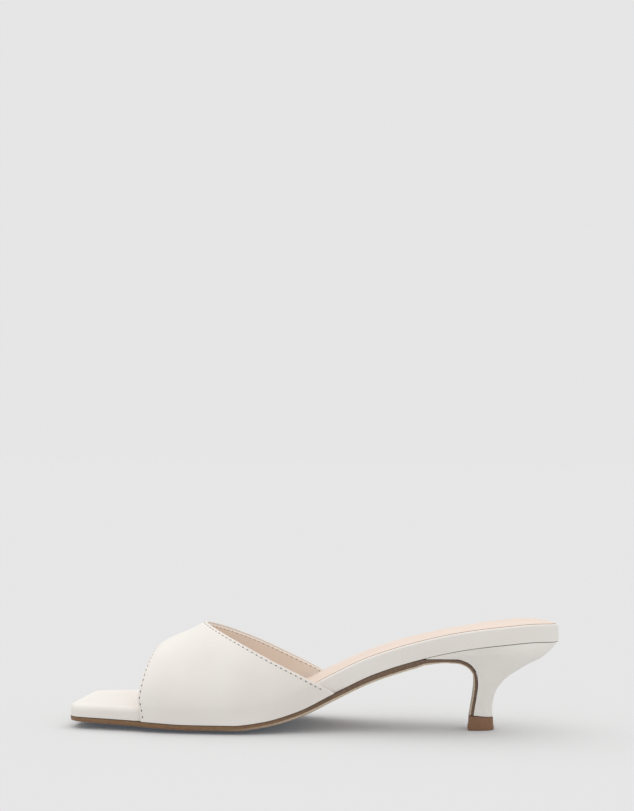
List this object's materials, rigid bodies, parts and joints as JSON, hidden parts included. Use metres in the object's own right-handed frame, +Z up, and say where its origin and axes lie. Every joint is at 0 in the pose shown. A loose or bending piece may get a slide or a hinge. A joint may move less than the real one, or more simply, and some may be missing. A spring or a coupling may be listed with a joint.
{
  "type": "kitten heel mule",
  "caption": "Open toe kitten heel mule for the right foot with a wide vamp band, peaked throat, wrapped footbed and covered heel.",
  "frame": {"origin": "bottom centre of the bounding box, on the floor", "axes": "+X points to the toe, +Y to the inner side of the foot, +Z up"},
  "size_m": [0.238, 0.0808, 0.0541],
  "materials": {
    "outsole": "brown sole leather, smooth sealed edge",
    "footbed": "ivory smooth leather, semi-matt",
    "insole": "nude sock leather, matt",
    "upper": "ivory smooth leather, semi-matt",
    "heel": "ivory smooth leather over a moulded heel",
    "top_lift": "brown hard rubber, matt"
  },
  "bodies": {
    "root": {"outsole": "outsole", "footbed": "footbed", "insole": "insole", "upper": "upper", "heel": "heel", "top_lift": "top_lift"}
  },
  "joints": []
}
